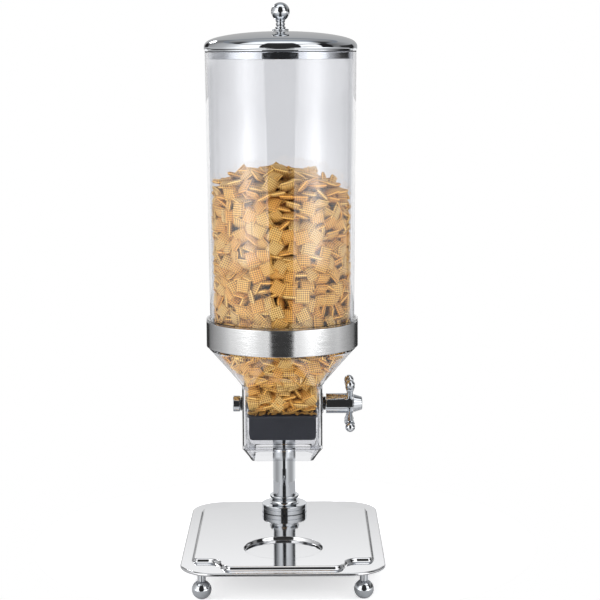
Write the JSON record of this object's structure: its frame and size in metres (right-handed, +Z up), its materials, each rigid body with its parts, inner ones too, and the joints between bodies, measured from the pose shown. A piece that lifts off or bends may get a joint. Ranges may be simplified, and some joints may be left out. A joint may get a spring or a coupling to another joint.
{
  "type": "cereal dispenser",
  "caption": "Countertop dry food dispenser: clear canister on a polished stand, hand-turned rubber paddle rotor below it, domed lift-off lid with ball knob",
  "frame": {"origin": "on the table, at the middle of the base plate's footprint, which is also the middle of the whole part's footprint", "axes": "+Z up, +X towards the handle, -Y towards the user in front"},
  "size_m": [0.225, 0.302, 0.64],
  "materials": {
    "chrome": "mirror polished",
    "polished_steel": "polished stainless with a faint brushed grain",
    "brushed_steel": "satin brushed stainless",
    "zinc_steel": "plain zinc plated",
    "clear_plastic": "clear moulded plastic, glossy",
    "clear_silicone": "translucent silicone",
    "dark_rubber": "matte dark rubber",
    "dark_plastic": "matte moulded",
    "black_plastic": "satin moulded"
  },
  "bodies": {
    "stand": {"base_plate": "polished_steel", "foot_ball_front_left": "chrome", "foot_ball_front_right": "chrome", "foot_ball_back_left": "chrome", "foot_ball_back_right": "chrome", "foot_stud_front_left": "zinc_steel", "foot_stud_front_right": "zinc_steel", "foot_stud_back_left": "zinc_steel", "foot_stud_back_right": "zinc_steel", "pole_flange": "chrome", "pole_neck_ring": "chrome", "pole": "chrome", "pole_plug": "zinc_steel", "pole_top_cap": "chrome", "base_washer": "zinc_steel", "base_bolt": "zinc_steel", "arm_collar": "chrome", "collar_screw": "zinc_steel", "support_arm": "brushed_steel", "support_ring": "brushed_steel", "canister_tube": "clear_plastic", "tube_gasket": "clear_silicone", "hopper_funnel": "clear_plastic", "valve_housing": "clear_plastic", "outlet_spout": "clear_plastic", "bush_left": "black_plastic", "bush_right": "black_plastic"},
    "rotor": {"rotor_shaft": "zinc_steel", "rotor_hub": "dark_plastic", "rotor_vane_1": "dark_rubber", "rotor_vane_2": "dark_rubber", "rotor_vane_3": "dark_rubber", "rotor_vane_4": "dark_rubber", "axle_washer": "black_plastic", "axle_nut": "chrome", "handle_hub": "chrome", "handle_cap": "chrome", "handle_spoke_1": "chrome", "handle_spoke_2": "chrome", "handle_spoke_3": "chrome", "handle_spoke_4": "chrome", "handle_ball_1": "chrome", "handle_ball_2": "chrome", "handle_ball_3": "chrome", "handle_ball_4": "chrome"},
    "lid": {"lid_dome": "chrome", "lid_skirt": "chrome", "lid_seal": "dark_rubber", "lid_knob": "chrome", "knob_washer": "zinc_steel", "knob_screw": "zinc_steel"}
  },
  "joints": [
    {"name": "handle_turn", "type": "hinge", "parent": "stand", "child": "rotor", "pos_m": [0, -0.04, 0.1955], "axis": [1, 0, 0], "continuous": true},
    {"name": "lid_lift", "type": "slide", "parent": "stand", "child": "lid", "axis": [0, 0, 1], "range_m": [0, 0.1]}
  ]
}
